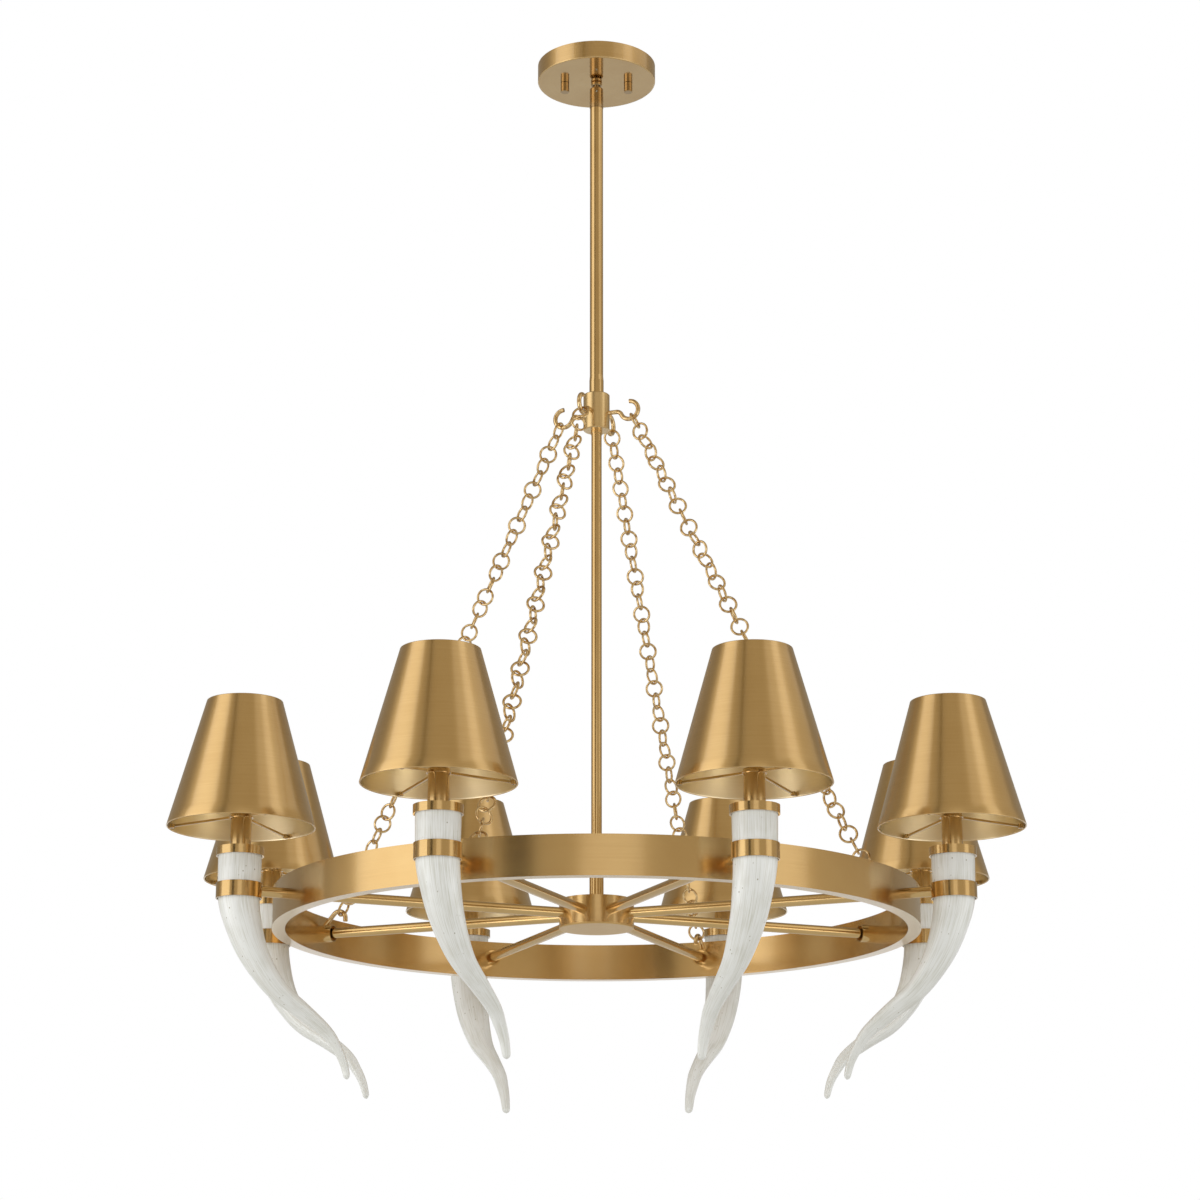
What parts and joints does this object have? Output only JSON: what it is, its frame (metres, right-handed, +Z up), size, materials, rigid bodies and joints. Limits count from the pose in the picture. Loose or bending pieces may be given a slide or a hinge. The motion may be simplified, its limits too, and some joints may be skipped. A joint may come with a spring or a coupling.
{
  "type": "chandelier",
  "caption": "Ring chandelier in brushed brass with cast white horns at its rim, tapered metal shades on candle sleeves, a jointed rod and hooked chains.",
  "frame": {"origin": "centre of the two ceiling-box screws on the ceiling plane, above the rod", "axes": "+Z up, square to the ceiling; +X runs along the two box screws and the two canopy knobs; -Y faces the viewer of the picture"},
  "size_m": [0.8826, 0.8826, 1.1758],
  "materials": {
    "brushed_brass": "brushed and lacquered",
    "plated_steel": "zinc plated",
    "cast_resin": "cast, whitewashed, fine grain",
    "holder_plastic": "moulded"
  },
  "bodies": {
    "ceiling_mount": {"mounting_strap": "plated_steel", "canopy": "brushed_brass", "canopy_studs": "plated_steel", "stud_nuts": "plated_steel", "swivel_stem": "brushed_brass", "swivel_lock_nut": "plated_steel"},
    "left_knob": {"canopy_knob_left": "brushed_brass"},
    "right_knob": {"canopy_knob_right": "brushed_brass"},
    "swivel_cross_body": {"swivel_cross": "plated_steel"},
    "fixture": {"swivel_sleeve": "brushed_brass", "upper_rod": "brushed_brass", "rod_nipples": "plated_steel", "rod_coupling": "brushed_brass", "hook_collar": "brushed_brass", "collar_bushing": "brushed_brass", "upper_hooks": "brushed_brass", "lower_rod": "brushed_brass", "foot_sleeve": "brushed_brass", "hub_body": "brushed_brass", "hub_cover": "brushed_brass", "ring": "brushed_brass", "spoke_barrels": "brushed_brass", "ring_stud_tubes": "plated_steel", "lower_hooks": "brushed_brass", "horn_arms": "brushed_brass", "horn_bands": "brushed_brass", "horn_caps": "brushed_brass", "candle_nipples": "plated_steel", "candle_sleeves": "brushed_brass", "lamp_holders": "holder_plastic", "shade_spiders": "brushed_brass", "shade_clamp_rings": "brushed_brass", "spoke_1": "brushed_brass", "horn_1": "cast_resin", "shade_1": "brushed_brass", "spoke_2": "brushed_brass", "horn_2": "cast_resin", "shade_2": "brushed_brass", "spoke_3": "brushed_brass", "horn_3": "cast_resin", "shade_3": "brushed_brass", "spoke_4": "brushed_brass", "horn_4": "cast_resin", "shade_4": "brushed_brass", "spoke_5": "brushed_brass", "horn_5": "cast_resin", "shade_5": "brushed_brass", "spoke_6": "brushed_brass", "horn_6": "cast_resin", "shade_6": "brushed_brass", "spoke_7": "brushed_brass", "horn_7": "cast_resin", "shade_7": "brushed_brass", "spoke_8": "brushed_brass", "horn_8": "cast_resin", "shade_8": "brushed_brass", "chain_1": "brushed_brass", "chain_2": "brushed_brass", "chain_3": "brushed_brass", "chain_4": "brushed_brass"}
  },
  "joints": [
    {"name": "left_knob_turn", "type": "hinge", "parent": "ceiling_mount", "child": "left_knob", "pos_m": [-0.0365, 0, -0.0264], "axis": [0, 0, 1], "continuous": true},
    {"name": "right_knob_turn", "type": "hinge", "parent": "ceiling_mount", "child": "right_knob", "pos_m": [0.0365, 0, -0.0264], "axis": [0, 0, 1], "continuous": true},
    {"name": "swivel_tilt_front", "type": "hinge", "parent": "ceiling_mount", "child": "swivel_cross_body", "pos_m": [0, 0, -0.0342], "axis": [1, 0, 0], "range_deg": [-15, 15]},
    {"name": "swivel_tilt_side", "type": "hinge", "parent": "swivel_cross_body", "child": "fixture", "pos_m": [0, 0, -0.0342], "axis": [0, 1, 0], "range_deg": [-15, 15]}
  ]
}
